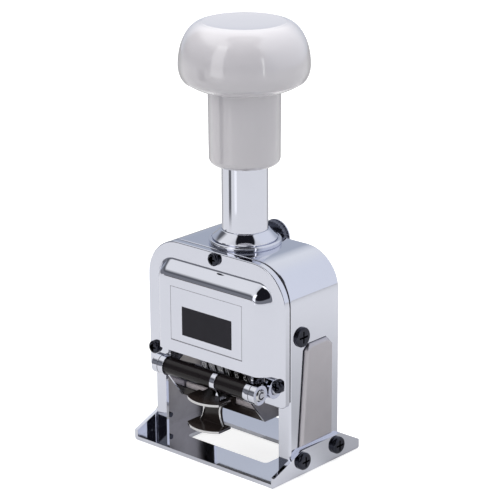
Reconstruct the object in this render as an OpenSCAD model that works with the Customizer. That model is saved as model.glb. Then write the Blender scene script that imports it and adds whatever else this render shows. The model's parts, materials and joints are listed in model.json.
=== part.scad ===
// Hand numbering machine. A sprung plunger carries six number wheels down to
// the paper under the base, and a cam slot swings the ink pad out in front.
// Millimetres. X runs across the machine, Y to the back, Z up; front is -Y.

/* [Base] */
// Depth of the base plate, front to back
base_depth = 47.8; // [46:0.2:60]
// Thickness of the base sheet
base_t = 1.5; // [1.2:0.1:2]
// Outer bend radius along the base's bottom edges
base_bend = 1.2; // [0.6:0.1:1.2]
// Width of the window that the wheels print through
window_w = 39; // [37:0.5:44]
// Front edge of the window, ahead of the wheel axis
window_front = 11.2; // [10:0.2:12]
// Back edge of the window, behind the wheel axis
window_back = 7.8; // [7.6:0.2:11]
// Height of the side flanges between the screws
flange_h = 10; // [9.6:0.1:10.4]
// Height of the side flanges at their tips
flange_tip_h = 4; // [3:0.1:5]
// Thickness of the side flanges
flange_t = 1.5; // [1.2:0.1:2]
// Length of the flange's full height in front of the wheel axis
flange_front = 8.6; // [7:0.1:9.6]
// Length of the flange's full height behind the wheel axis
flange_back = 13; // [12:0.1:14]
// Distance of the front base screws ahead of the wheel axis
base_screw_front = 8.4; // [8:0.1:9.2]
// Distance of the back base screws behind the wheel axis
base_screw_back = 10.8; // [9.6:0.1:10.8]
// Height of the base screws
base_screw_z = 6; // [5.6:0.1:6.4]

/* [Housing] */
// Width of the housing over its side walls
housing_w = 66; // [64:0.5:72]
// Depth of the housing over its lips
housing_depth = 27.2; // [26.4:0.2:28.4]
// Height of the housing's top above the table
housing_top = 79.2; // [78.6:0.2:82]
// Corner radius of the arch
housing_r = 15; // [12:0.5:18]
// Thickness of the housing sheet
housing_t = 1.6; // [1.2:0.1:2]
// Width of the lips turned in at the front and back
lip_w = 5.3; // [5:0.1:5.6]
// Thickness of the lips
lip_t = 1.2; // [1:0.1:1.5]
// How far the pressed side panels stand out
panel_rise = 1.4; // [1:0.1:1.4]
// Top of the side panels
panel_top = 49.2; // [46:0.2:49.2]
// Bottom of the side panels
panel_bottom = 11; // [10.8:0.1:13]
// Front edge of the side panels at the top, ahead of the wheel axis
panel_front_top = 5.9; // [5:0.1:7]
// Front edge of the side panels at the bottom
panel_front_low = 8.8; // [8:0.1:10.6]
// Back edge of the side panels, behind the wheel axis
panel_back = 8.8; // [7:0.1:9.4]
// Width of the back lips' tabs that hold the back cover's screws
tab_w = 8.2; // [7.8:0.1:8.6]
// Height of those tabs
tab_h = 9; // [8:0.2:11]
// Distance of the side screws behind the housing's front edge
side_screw_in = 6.2; // [5.8:0.1:6.6]
// Height of the side screws
side_screw_z = 52.7; // [52.4:0.1:53.6]
// Head diameter of the side screws
side_screw_d = 7.4; // [7:0.1:7.6]

/* [Covers] */
// Sheet thickness of the front and back covers
cover_t = 1; // [0.8:0.1:1.2]
// Depth of the covers' turned edge
cover_depth = 2.7; // [2.5:0.1:3]
// Width of the cut-out between the ears
cutout_w = 47.2; // [47.2:0.2:50]
// Height of the cut-out's top edge
cutout_z = 38.8; // [38.2:0.1:39.2]
// Lower end of the ears
ear_z = 27.6; // [26:0.2:29]
// Corner radius of the ears
ear_r = 2; // [1:0.1:3]
// Width of the raised panel on each cover
bulge_w = 56; // [52:0.2:56.6]
// Top of the front cover's raised panel
bulge_top = 72.8; // [70:0.2:73.2]
// Top of the back cover's raised panel, under the stop knob
back_bulge_top = 68.6; // [66:0.2:69]
// How far the raised panel stands out
bulge_rise = 4.6; // [3.8:0.1:4.8]
// Width of the raised panel's shoulder
bulge_run = 5.8; // [4.6:0.1:6.6]
// Corner radius of the raised panel
bulge_r = 7.4; // [7:0.1:10]
// How far the back cover's edge stays inside the housing's edge
back_inset = 1.4; // [1:0.1:2]
// Distance of the ear screws from the housing's side
ear_screw_in = 2.9; // [2.8:0.1:3.1]
// Distance of the back cover's screws from the housing's side
back_screw_in = 5.6; // [5.2:0.1:5.8]
// Distance of the top screw below the housing's top
top_screw_drop = 2.5; // [2.5:0.1:3]
// Height of the ear screws
ear_screw_z = 36; // [35:0.1:36.2]
// Head diameter of the black screws on the covers
cover_screw_d = 4.9; // [4.6:0.1:5]
// Head height of the black screws on the covers
cover_head_h = 1.7; // [1.2:0.1:2]
// Head diameter of the black screws on the base
base_screw_d = 6.5; // [5.6:0.1:6.8]
// Head height of the black screws on the base
base_head_h = 1.7; // [1.2:0.1:2.2]
// Head height of the flat screws on the sides
side_head_h = 1.1; // [0.9:0.1:1.5]
// Shank diameter of every screw
screw_d = 2; // [1.8:0.1:2]

/* [Collar] */
// Diameter of the collar's rim
collar_d = 26.4; // [25:0.2:27]
// Height of the collar's rim
rim_h = 1.9; // [1.6:0.1:2.2]
// Height of the whole collar
collar_h = 5.4; // [5:0.1:6.5]
// Wall of the collar's bush inside the housing
bush_t = 2.2; // [2:0.1:2.4]
// Depth of the bush below the housing's top
bush_l = 8; // [6:0.5:10]

/* [Plunger] */
// Stroke of the plunger
stroke = 24; // [22:0.5:24]
// Outside diameter of the stem tube
tube_d = 16.8; // [16:0.2:17]
// Wall of the stem tube
tube_t = 1.2; // [1:0.1:1.4]
// Diameter of the sleeve under the knob
sleeve_d = 26.1; // [24:0.1:27]
// Length of the sleeve
sleeve_l = 27.15; // [26:0.05:34]
// Edge radius at the sleeve's lower end
sleeve_r = 2.6; // [2:0.1:4]
// Diameter of the knob
knob_d = 46.9; // [42:0.1:48]
// Height of the knob
knob_h = 24.6; // [20:0.2:26]
// Height of the knob's widest ring above the sleeve
knob_waist = 9; // [7:0.1:11]
// How far the stem reaches up into the knob
stem_in = 12; // [10:0.5:14]
// Thickness of the yoke that carries the wheels
yoke_t = 1.4; // [1.2:0.1:1.6]
// Thickness of the yoke's top
yoke_top_t = 2; // [1.6:0.1:2.4]
// Diameter of the bar that holds the spring's lower end
bar_d = 4; // [3.6:0.1:4.4]
// Height of the spring bar
bar_z = 57; // [56.6:0.1:57]
// Wire diameter of the main spring
wire_d = 1.3; // [1:0.1:1.4]
// Outside diameter of the main spring
spring_d = 11.8; // [10:0.1:12]
// Turns of the main spring
turns = 13; // [10:1:14]

/* [Wheels] */
// Number of number wheels
wheels = 6; // [6:1:6]
// Radius of the wheels over the type
wheel_r = 12; // [11.6:0.1:12]
// Distance between neighbouring wheels
wheel_pitch = 4; // [3.9:0.1:4]
// Width of a wheel's type drum
drum_w = 3; // [2.8:0.1:3]
// Thickness of a wheel's ratchet
ratchet_w = 0.7; // [0.6:0.1:0.7]
// Radius over the ratchet's teeth
ratchet_r = 9.2; // [8.6:0.1:9.4]
// Depth of the ratchet's teeth
tooth_h = 1.3; // [1:0.1:1.5]
// Depth of the grooves between the figures
groove_h = 0.9; // [0.6:0.1:1]
// Width of the grooves between the figures
groove_w = 2; // [1.6:0.1:2.4]
// Diameter of the wheel shaft
shaft_d = 5; // [4.6:0.1:5.4]
// Diameter of the detent rod
detent_d = 2.4; // [2:0.1:2.6]
// Distance of the detent rod from the wheel axis
detent_r = 15.4; // [15.2:0.1:15.6]
// Angle of the detent rod above the back
detent_a = 46; // [44:1:50]

/* [Pawl carrier] */
// Thickness of the pawl carrier's side arms
carrier_t = 0.9; // [0.7:0.1:1]
// Distance of the pawl rod from the wheel axis
pawl_r = 13.5; // [13.4:0.1:13.6]
// Diameter of the pawl rod
pawl_d = 1.8; // [1.6:0.1:1.9]
// Angle of the pawl rod above the front at rest
pawl_a = 28; // [24:1:32]

/* [Ink pad] */
// How far the pad's pivot stands before the front cover
pivot_ahead = 4.1; // [3.9:0.1:4.5]
// Height of the pad's pivot
pivot_z = 32.3; // [32:0.1:32.5]
// Diameter of the black pivot tube
pivot_tube_d = 6.4; // [6:0.1:6.8]
// Diameter of the rings at the tube's ends
ring_d = 7.4; // [7:0.1:7.6]
// Width of the ring outside each arm
ring_w = 1.5; // [1.2:0.1:1.7]
// Width of the boss on each bracket
boss_w = 2.7; // [2.2:0.1:3]
// Distance of the pad's arms from the middle
arm_x = 19.6; // [19.2:0.1:19.6]
// Head diameter of the pivot shaft
pivot_head_d = 4.8; // [4:0.1:5.4]
// Diameter of the pivot shaft
pivot_d = 3; // [2.6:0.1:3.4]
// Swing of the ink pad over the full stroke, in degrees
pad_swing = 90; // [88:1:90]
// Distance of the cam pin above the pivot at rest
cam_lift = 12; // [11:0.1:12.5]
// Diameter of the cam pin
cam_pin_d = 2.4; // [2:0.1:2.6]
// Thickness of the pad arms
arm_t = 1; // [0.8:0.1:1.1]
// Metal left round the cam slot
arm_rim = 2.4; // [2:0.1:2.8]
// Front edge of the felt, ahead of the wheel axis
felt_front = 12; // [11:0.1:12.2]
// Back edge of the felt, behind the wheel axis
felt_back = 5.2; // [4.6:0.1:5.4]
// Thickness of the felt
felt_t = 4.2; // [3.6:0.1:4.4]
// Thickness of the pad tray
tray_t = 0.9; // [0.7:0.1:1]
// Height of the tray's front and back walls above its floor
tray_wall = 2; // [1.2:0.1:3]

/* [Finger grip] */
// Width of the grip's plates
grip_w = 15.5; // [13:0.1:18]
// Width of the grip's neck
neck_w = 12; // [10:0.1:13]
// Width of the web at its waist
waist_w = 8.6; // [7:0.1:10]
// Reach of the grip in front of the wheel axis
grip_reach = 26.5; // [24:0.1:28]
// Bow of the plates' front edge
grip_bow = 3; // [2:0.1:4]
// Gap for the fingertip between the plates
grip_gap = 9.4; // [8.6:0.1:9.8]
// Thickness of the grip
grip_t = 1; // [0.8:0.1:1.2]
// Front face of the web, ahead of the wheel axis
web_y = 18.6; // [18:0.1:19.4]
// Width of the clip on the pivot tube
clip_w = 2.2; // [2:0.1:3]
// Distance of the clip from the middle
clip_x = 4.8; // [4.2:0.1:5.6]
// Thickness of the clip
clip_t = 0.5; // [0.4:0.1:0.7]

/* [Brackets] */
// Thickness of the pivot brackets
bracket_t = 1; // [0.8:0.1:1]
// Height of the bracket's side plate
bracket_h = 6; // [5:0.1:6.4]
// Thickness of the plates that hold the spring bar
hanger_t = 1.5; // [1.2:0.1:1.8]
// Radius of those plates' ends
hanger_r = 4; // [3.6:0.1:4.2]

/* [Stop knob and repeat dial] */
// Drop of the stop knob's axis below the housing's top
stop_drop = 2; // [1.6:0.1:2.2]
// Diameter of the stop knob's pin
stop_pin_d = 1.8; // [1.6:0.1:1.8]
// Diameter of the stop knob
stop_d = 12.8; // [12:0.1:13.4]
// Length of the stop knob's knurled drum
stop_l = 2.2; // [2:0.1:3.4]
// Knurls round the stop knob
stop_knurls = 30; // [20:2:36]
// Height of the repeat dial's axis
dial_z = 51; // [50:0.5:53]
// Diameter of the repeat dial
dial_d = 19; // [16:0.5:20]
// Thickness of the repeat dial
dial_t = 3.2; // [2.8:0.1:3.8]
// Knurls round the repeat dial
dial_knurls = 24; // [18:2:30]
// Diameter of the dial's hub
hub_d = 5; // [4:0.1:6]

/* [Fits] */
// Radial clearance of a turning or sliding fit
run = 0.05; // [0.02:0.01:0.08]
// Gap between pieces that pass without touching
gap = 0.3; // [0.25:0.01:0.35]

/* [Hidden] */
$fn = 48;

// The wheels hang one stroke above the table, and everything above follows.
wheel_z = stroke + wheel_r;
half_w = housing_w / 2;
half_d = housing_depth / 2;
inner_x = half_w - housing_t;
ear_screw_x = half_w - ear_screw_in;
back_screw_x = half_w - back_screw_in;
top_screw_z = housing_top - top_screw_drop;
side_screw_y = half_d - side_screw_in;
lip_y = half_d - lip_t;
cover_y = half_d + cover_depth;
bulge_y = cover_y + bulge_rise;
pivot_y = cover_y + pivot_ahead;
back_y = half_d + cover_t;
back_bulge_y = back_y + bulge_rise;
collar_top = housing_top + collar_h;
stop_gap = 0.15;
sleeve_z = collar_top + stroke + stop_gap;
knob_z = sleeve_z + sleeve_l;
knob_top = knob_z + knob_h;
tube_r = tube_d / 2;
bore_r = tube_r - tube_t;
tube_end = knob_z + stem_in;
plug_z = sleeve_z + 9;
plug_t = 3;

// The wheels stand side by side, with the pawls in the ratchets' planes.
wheel_w = drum_w + ratchet_w;
pack_w = (wheels - 1) * wheel_pitch + wheel_w;
carrier_x = pack_w / 2 + gap;
yoke_in = carrier_x + carrier_t + gap + 0.1;
yoke_out = yoke_in + yoke_t;
clip_end = yoke_out + 1;
blade_w = 0.6;
yoke_z = wheel_z + wheel_r + 2.6;
yoke_top = yoke_z + yoke_top_t;

// The pad's arms end in rings, and the brackets carry the same ring outside.
ring_x = arm_x + arm_t;
bracket_x = ring_x + ring_w + 0.2;
head_x = bracket_x + boss_w;
felt_top = wheel_z - wheel_r - gap;
felt_z = felt_top - felt_t;
tray_z = felt_z - tray_t;
upper_z = felt_top + 0.3;
lower_z = upper_z - grip_gap - grip_t;

// Points of an arc from angle a to angle b.
function arc(r, a, b, n = 12, c = [0, 0]) =
    [for (i = [0:n]) c + r * [cos(a + (b - a) * i / n), sin(a + (b - a) * i / n)]];

// Where the cam pin stands in the pad arm's own frame after s of stroke.
function cam_at(s) =
    let (q = pad_swing * s / stroke, up = cam_lift - s)
    [pivot_y * cos(q) - up * sin(q), pivot_y * sin(q) + up * cos(q)];
// Unit normal of that path.
function cam_normal(s) =
    let (d = cam_at(s + 0.01) - cam_at(s - 0.01), l = norm(d))
    [-d[1] / l, d[0] / l];
// Outline of a band of half width w along the path.
function cam_band(w, n = 24) = concat(
    [for (i = [0:n]) cam_at(stroke * i / n) + w * cam_normal(stroke * i / n)],
    [for (i = [n:-1:0]) cam_at(stroke * i / n) - w * cam_normal(stroke * i / n)]);

// A bar along X, from x0 to x1.
module bar_x(r, x0, x1, y, z) {
    translate([x0, y, z]) rotate([0, 90, 0]) cylinder(r = r, h = x1 - x0);
}
// A bar along Y, from y0 to y1.
module bar_y(r, y0, y1, x, z) {
    translate([x, y1, z]) rotate([90, 0, 0]) cylinder(r = r, h = y1 - y0);
}
// A sheet drawn in Y and Z, from x0 to x1.
module sheet_x(x0, x1) {
    translate([x0, 0, 0]) rotate([90, 0, 90]) linear_extrude(x1 - x0) children();
}
// A sheet drawn in X and Z, from y0 to y1.
module sheet_y(y0, y1) {
    translate([0, y1, 0]) rotate([90, 0, 0]) linear_extrude(y1 - y0) children();
}
// The same thing on both sides of the machine.
module both_x() {
    children();
    mirror([1, 0, 0]) children();
}
// The same thing at the front and at the back.
module both_y() {
    children();
    mirror([0, 1, 0]) children();
}
// Rectangle with rounded corners.
module rounded(w, h, r) {
    translate([r, 0]) square([w - 2 * r, h]);
    translate([0, r]) square([w, h - 2 * r]);
    for (x = [r, w - r], y = [r, h - r]) translate([x, y]) circle(r);
}
// The arch outline, drawn in by g all round and open below z0.
module arch(g, z0) {
    w = half_w - g;
    r = housing_r - g;
    top = housing_top - g;
    translate([-w, z0]) square([2 * w, top - r - z0]);
    translate([-w + r, z0]) square([2 * (w - r), top - z0]);
    for (s = [-1, 1]) translate([s * (w - r), top - r]) circle(r);
}
// A pan head that stands on z = 0, with its shank below.
module screw(d, h, l) {
    difference() {
        rotate_extrude() polygon(concat([[0, -l], [screw_d / 2, -l], [screw_d / 2, 0], [d / 2, 0]],
            [for (i = [0:8]) [d / 2 - 0.55 * h + 0.55 * h * cos(i * 11.25), 0.45 * h + 0.55 * h * sin(i * 11.25)]],
            [[0, h]]));
        for (a = [0, 90]) rotate(a) translate([-0.3 * d, -0.35, h - 1]) cube([0.6 * d, 0.7, 2]);
    }
}

// Base: a sheet with a window, and a flange bent up along each side.
flange_x = half_w + flange_t;
window_r = 1.5;

module base_plate() {
    color("silver") difference() {
        union() {
            translate([-half_w, -base_depth / 2, 0]) cube([housing_w, base_depth, base_t]);
            both_x() sheet_x(half_w, flange_x) flange_outline();
        }
        translate([-window_w / 2, -window_front, -1]) linear_extrude(base_t + 2)
            rounded(window_w, window_front + window_back, window_r);
        both_x() base_edge();
        both_x() base_screw_places() bar_x(screw_d / 2, half_w - 1, flange_x + 1, 0, base_screw_z);
    }
}
module flange_outline() {
    polygon([[-base_depth / 2, 0], [base_depth / 2, 0], [base_depth / 2, flange_tip_h],
             [flange_back, flange_h], [-flange_front, flange_h],
             [-base_depth / 2, flange_tip_h]]);
}
// What the bend takes off the bottom edge.
module base_edge() {
    translate([flange_x - base_bend, 0, base_bend]) rotate([90, 0, 0])
        translate([0, 0, -base_depth / 2 - 1]) linear_extrude(base_depth + 2) difference() {
            translate([0, -base_bend - 1]) square([base_bend + 1, base_bend + 1]);
            circle(base_bend);
        }
}
module base_screw_places() {
    for (y = [-base_screw_front, base_screw_back]) translate([0, y, 0]) children();
}
module base_screws() {
    color("dimgray") both_x() base_screw_places() translate([flange_x, 0, base_screw_z])
        rotate([0, 90, 0]) screw(base_screw_d, base_head_h, flange_t + housing_t + 1);
}

// Housing: one sheet bent into an arch, with lips at the front and back.
module panel_outline(g) {
    polygon([[-panel_front_low + g, panel_bottom + g], [panel_back - g, panel_bottom + g],
             [panel_back - g, panel_top - 3], [panel_back - 3, panel_top - g],
             [-panel_front_top + 2, panel_top - g], [-panel_front_top + g, panel_top - 2]]);
}
module housing() {
    color("gainsboro") difference() {
        union() {
            sheet_y(-half_d, half_d) arch(0, base_t);
            both_x() sheet_x(half_w - 1, half_w + panel_rise) panel_outline(0);
        }
        sheet_y(-lip_y, lip_y) arch(housing_t, base_t - 1);
        sheet_y(-half_d - 1, 0) arch(lip_w, base_t - 2);
        sheet_y(-1, half_d + 1) difference() {
            arch(lip_w, base_t - 2);
            for (s = [-1, 1]) translate([s * (half_w - tab_w / 2) - tab_w / 2, ear_screw_z - tab_h / 2])
                square([tab_w, tab_h]);
        }
        both_x() sheet_x(half_w - housing_t - 1, half_w + panel_rise - housing_t) panel_outline(housing_t);
        translate([0, 0, housing_top - 5]) cylinder(r = tube_r + bush_t, h = 10);
        both_x() base_screw_places() bar_x(screw_d / 2, half_w - 5, half_w + 1, 0, base_screw_z);
        both_x() bar_x(screw_d / 2, half_w - 5, half_w + 1, -side_screw_y, side_screw_z);
        both_x() bar_y(screw_d / 2, -half_d - 1, -lip_y, ear_screw_x, ear_screw_z);
        both_x() bar_y(screw_d / 2, lip_y, half_d + 1, back_screw_x, ear_screw_z);
        bar_y(screw_d / 2, -half_d - 1, -lip_y, 0, top_screw_z);
        bar_y(stop_pin_d / 2 + run, tube_r, half_d + 1, 0, stop_z);
    }
}
module side_screws() {
    color("dimgray") both_x() translate([half_w, -side_screw_y, side_screw_z]) rotate([0, 90, 0])
        screw(side_screw_d, side_head_h, housing_t + hanger_t + 0.5);
}

// Covers: a pressed sheet with a turned edge, a raised panel and two ears.
module cover_outline(g) {
    difference() {
        arch(g, ear_z);
        translate([-cutout_w / 2, ear_z - 1]) square([cutout_w, cutout_z - ear_z + 1]);
        for (s = [-1, 1]) scale([s, 1]) ear_corner(g);
    }
}
module ear_corner(g) {
    translate([half_w - g - ear_r, ear_z + ear_r]) difference() {
        translate([0, -ear_r - 1]) square([ear_r + 1 + g, ear_r + 1]);
        circle(ear_r);
    }
}
// Height of the shoulder at distance r from the panel's corner centre: a short
// fillet at its foot, a straight slope, and a longer round over the top.
foot_run = 0.16 * bulge_run;
crest_run = 0.42 * bulge_run;
slope = bulge_rise / (bulge_run - foot_run / 2 - crest_run / 2);
function shoulder(r, big) =
    let (u = big - r, left = bulge_run - u)
    u >= bulge_run ? bulge_rise
    : u < foot_run ? slope * u * u / (2 * foot_run)
    : left > crest_run ? slope * (u - foot_run / 2)
    : bulge_rise - slope * left * left / (2 * crest_run);
// The shoulder's profile, from the panel's middle out to its foot, sunk below the foot.
function shoulder_line(far, big, sunk, n = 14) = concat([[0, -sunk], [0, bulge_rise]],
    [for (i = [0:n]) let (r = big - bulge_run + bulge_run * i / n)
        [far - big + r, i == n ? 0 : shoulder(r, big)]], sunk > 0 ? [[far, -sunk]] : []);
// The raised panel up to height z, as a solid that stands out from y = 0, drawn in by g.
module bulge(z, g) {
    sunk = cover_t / 2;
    big = bulge_r - g;
    side = bulge_w / 2 - g;
    top = z - g;
    rise = shoulder_line(side, big, sunk);
    both_x() translate([0, 0, cutout_z - g]) linear_extrude(top - big - cutout_z + g)
        polygon([for (p = rise) [p[0], -p[1]]]);
    translate([-(side - big), 0, 0]) rotate([90, 0, 90]) linear_extrude(2 * (side - big))
        polygon(concat([[sunk, cutout_z - g], [-bulge_rise, cutout_z - g]],
            [for (p = shoulder_line(top, big, sunk)) if (p[0] > 1) [-p[1], p[0]]]));
    both_x() translate([side - big, 0, top - big]) rotate([90, 0, 0])
        rotate_extrude() polygon(shoulder_line(big, big, sunk));
}
// A flat cover at y, with the raised panel up to height z pressed out of it.
module pressed(y, z, g) {
    difference() {
        union() {
            sheet_y(-y, -y + cover_t) cover_outline(g);
            translate([0, -y, 0]) bulge(z, 0);
        }
        translate([0, -y + cover_t, 0]) bulge(z, cover_t);
    }
}
module front_cover() {
    color("gainsboro") difference() {
        union() {
            pressed(cover_y, bulge_top, 0);
            sheet_y(-cover_y, -half_d) difference() {
                cover_outline(0);
                arch(cover_t, ear_z - 1);
            }
        }
        both_x() bar_y(screw_d / 2, -cover_y - 1, -half_d, ear_screw_x, ear_screw_z);
        bar_y(screw_d / 2, -cover_y - 1, -half_d, 0, top_screw_z);
    }
}
// The back cover lies flat on the lips, inside the housing's edge.
module back_cover() {
    color("gainsboro") difference() {
        mirror([0, 1, 0]) pressed(back_y, back_bulge_top, back_inset);
        both_x() bar_y(screw_d / 2, half_d - 1, back_y + 1, back_screw_x, ear_screw_z);
        bar_y(hub_d / 2 + run, half_d, back_bulge_y + 1, 0, dial_z);
        bar_y(stop_pin_d / 2 + run, half_d - 1, back_bulge_y, 0, stop_z);
    }
}
module cover_screws() {
    color("dimgray") {
        both_x() translate([ear_screw_x, -cover_y, ear_screw_z]) rotate([90, 0, 0])
            screw(cover_screw_d, cover_head_h, cover_depth + lip_t + bracket_t);
        both_x() translate([back_screw_x, back_y, ear_screw_z]) rotate([-90, 0, 0])
            screw(cover_screw_d, cover_head_h, cover_t + lip_t);
        translate([0, -cover_y, top_screw_z]) rotate([90, 0, 0])
            screw(cover_screw_d, cover_head_h, cover_depth + lip_t);
    }
}

// Collar: a turned ring and bush that guide the stem, with a fine groove behind the rim.
module collar() {
    rim = collar_d / 2;
    color("silver") difference() {
        translate([0, 0, housing_top]) rotate_extrude() polygon(concat(
            [[tube_r + run, -bush_l], [tube_r + bush_t, -bush_l], [tube_r + bush_t, 0],
             [rim - 0.3, 0], [rim, 0.3], [rim, rim_h - 0.4], [rim - 0.4, rim_h],
             [rim - 0.8, rim_h], [rim - 0.9, rim_h - 0.3], [rim - 1.3, rim_h + 0.5]],
            [for (i = [0:8]) let (t = i / 8)
                [rim - 1.3 - (rim - 1.3 - tube_r - 0.6) * t,
                 rim_h + 0.5 + (collar_h - rim_h - 0.7) * (0.45 * t + 0.55 * t * t)]],
            [[tube_r + 0.3, collar_h], [tube_r + run, collar_h]]));
        bar_y(stop_pin_d / 2 + run, 0, collar_d, 0, stop_z);
    }
}

// Spring bar: a round bar through the stem's slots, hung from the side walls.
module hanger() {
    slope = atan2(bar_z - side_screw_z, side_screw_y);
    edge = hanger_r * [-sin(slope), cos(slope)];
    screw_at = [-side_screw_y, side_screw_z];
    bar_at = [0, bar_z];
    color("darkgray") sheet_x(inner_x - hanger_t, inner_x) difference() {
        union() {
            translate(screw_at) circle(hanger_r);
            translate(bar_at) circle(hanger_r);
            polygon([screw_at + edge, bar_at + edge, bar_at - edge, screw_at - edge]);
        }
        translate([-side_screw_y, side_screw_z]) circle(screw_d / 2);
        translate([0, bar_z]) circle(bar_d / 2 - 0.5);
    }
}
module bar_hanger_right() {
    hanger();
}
module bar_hanger_left() {
    mirror([1, 0, 0]) hanger();
}
module spring_bar() {
    color("gray") {
        bar_x(bar_d / 2, -inner_x + hanger_t, inner_x - hanger_t, 0, bar_z);
        both_x() bar_x(bar_d / 2 - 0.5, inner_x - hanger_t, inner_x, 0, bar_z);
    }
}
// Main spring: a coil from the bar up to the plug in the stem.
module main_spring() {
    r = (spring_d - wire_d) / 2;
    z0 = bar_z + bar_d / 2 + wire_d / 2;
    len = plug_z - wire_d / 2 - z0;
    n = turns * 20;
    sides = 6;
    color("dimgray") polyhedron(
        [for (i = [0:n], j = [0:sides - 1])
            let (a = 18 * i, b = 60 * j, q = r + wire_d / 2 * cos(b))
            [q * cos(a), q * sin(a), z0 + len * i / n + wire_d / 2 * sin(b)]],
        concat([[for (j = [0:sides - 1]) j], [for (j = [sides - 1:-1:0]) n * sides + j]],
            [for (i = [0:n - 1], j = [0:sides - 1]) let (k = (j + 1) % sides)
                [i * sides + j, (i + 1) * sides + j, (i + 1) * sides + k, i * sides + k]]));
}

// Pivot of the ink pad: a shaft held by two bent brackets behind the ears.
bracket_in = bracket_x;

module bracket() {
    color("silver") difference() {
        union() {
            bar_x(ring_d / 2, bracket_x, head_x, -pivot_y, pivot_z);
            sheet_x(bracket_in, bracket_in + bracket_t) {
                translate([-pivot_y, pivot_z - bracket_h / 2])
                    square([pivot_y - lip_y + bracket_t, bracket_h]);
                translate([-lip_y, pivot_z - bracket_h / 2])
                    square([bracket_t, bracket_h + 4]);
            }
            sheet_y(-lip_y, -lip_y + bracket_t)
                translate([bracket_in, pivot_z - bracket_h / 2])
                    square([inner_x - bracket_in - 0.1, bracket_h + 4]);
        }
        bar_x(pivot_d / 2, bracket_x - 1, head_x + 1, -pivot_y, pivot_z);
        bar_y(screw_d / 2, -half_d, -half_d + lip_t + bracket_t + 1, ear_screw_x, ear_screw_z);
    }
}
module pivot_bracket_right() {
    bracket();
}
module pivot_bracket_left() {
    mirror([1, 0, 0]) bracket();
}
module pivot_shaft() {
    color("silver") {
        bar_x(pivot_d / 2, -head_x, head_x, -pivot_y, pivot_z);
        both_x() translate([head_x, -pivot_y, pivot_z]) rotate([0, 90, 0])
            cylinder(r1 = pivot_head_d / 2, r2 = 0.4 * pivot_head_d, h = pivot_head_d / 8);
    }
}

// Plunger: knob, sleeve and stem over the yoke that carries the wheels.
module knob_cap() {
    r = knob_d / 2;
    lower = [for (i = [0:8]) let (a = -60 + 7.5 * i) [r - 3.8 + 3.8 * cos(a), knob_waist + 6.4 * sin(a)]];
    color("whitesmoke") translate([0, 0, knob_z]) difference() {
        rotate_extrude() polygon(concat([[0, 0], [sleeve_d / 2, 0]],
            [for (i = [1:5]) [sleeve_d / 2 + (lower[0][0] - sleeve_d / 2) * i / 6,
                              lower[0][1] * pow(i / 6, 1.6)]],
            lower,
            [for (i = [1:14]) [r - 9.2 + 9.2 * cos(i * 6), knob_waist + (knob_h - knob_waist - 0.3) * sin(i * 6)]],
            [[0, knob_h]]));
        translate([0, 0, -1]) cylinder(r = tube_r, h = tube_end - knob_z + 1);
    }
}
module sleeve() {
    r = sleeve_d / 2;
    color("whitesmoke") translate([0, 0, sleeve_z]) rotate_extrude() polygon(concat(
        [[tube_r, 0], [r - 0.2 - sleeve_r, 0]],
        arc(sleeve_r, -84, 0, 10, [r - 0.2 - sleeve_r, sleeve_r]),
        [[r, sleeve_l], [tube_r, sleeve_l]]));
}
module stem_tube() {
    color("silver") difference() {
        translate([0, 0, yoke_top]) cylinder(r = tube_r, h = tube_end - yoke_top);
        translate([0, 0, yoke_top - 1]) cylinder(r = bore_r, h = tube_end - yoke_top + 2);
        translate([-tube_r - 1, -bar_d / 2 - gap, bar_z - bar_d / 2 - gap])
            cube([tube_d + 2, bar_d + 2 * gap, stroke + bar_d + 2 * gap]);
    }
}
module spring_plug() {
    color("gray") translate([0, 0, plug_z]) cylinder(r = bore_r, h = plug_t);
}
// Yoke: a sheet bent down on both sides of the wheels.
yoke_y = 9.5;
lug_r = 3;
detent_y = detent_r * cos(detent_a);
detent_z = wheel_z + detent_r * sin(detent_a);
cam_z = pivot_z + cam_lift;

module yoke_side() {
    difference() {
        union() {
            translate([-yoke_y, cam_z - 3]) square([2 * yoke_y, yoke_top - cam_z + 3]);
            polygon([[-yoke_y, cam_z - 3], [-6, wheel_z], [6, wheel_z], [yoke_y, cam_z - 3]]);
            translate([0, wheel_z]) circle(6);
            translate([detent_y, detent_z]) circle(lug_r);
        }
        translate([0, wheel_z]) circle(shaft_d / 2);
        translate([detent_y, detent_z]) circle(detent_d / 2);
        translate([0, cam_z]) circle(cam_pin_d / 2 - 0.4);
    }
}
module yoke() {
    color("lightgray") {
        both_x() sheet_x(yoke_in, yoke_out) yoke_side();
        translate([-yoke_in, -yoke_y, yoke_z]) cube([2 * yoke_in, 2 * yoke_y, yoke_top_t]);
    }
}
module wheel_shaft() {
    color("gray") bar_x(shaft_d / 2, -clip_end, clip_end, 0, wheel_z);
}
module shaft_clips() {
    color("dimgray") both_x() difference() {
        bar_x(shaft_d / 2 + 1.3, yoke_out, yoke_out + 0.7, 0, wheel_z);
        bar_x(shaft_d / 2, yoke_out - 1, yoke_out + 1, 0, wheel_z);
        translate([yoke_out - 1, -1.2, wheel_z - 6]) cube([3, 2.4, 6]);
    }
}
module cam_pins() {
    color("gray") both_x() {
        bar_x(cam_pin_d / 2 - 0.4, yoke_in, yoke_out, 0, cam_z);
        bar_x(cam_pin_d / 2, yoke_out, ring_x + 0.4, 0, cam_z);
    }
}
// Plane of the ratchet of wheel i, counted from the left.
function wheel_x(i) = -pack_w / 2 + (i - 1) * wheel_pitch;
function blade_x(i) = wheel_x(i) + drum_w + (wheel_pitch - drum_w - blade_w) / 2;

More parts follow.
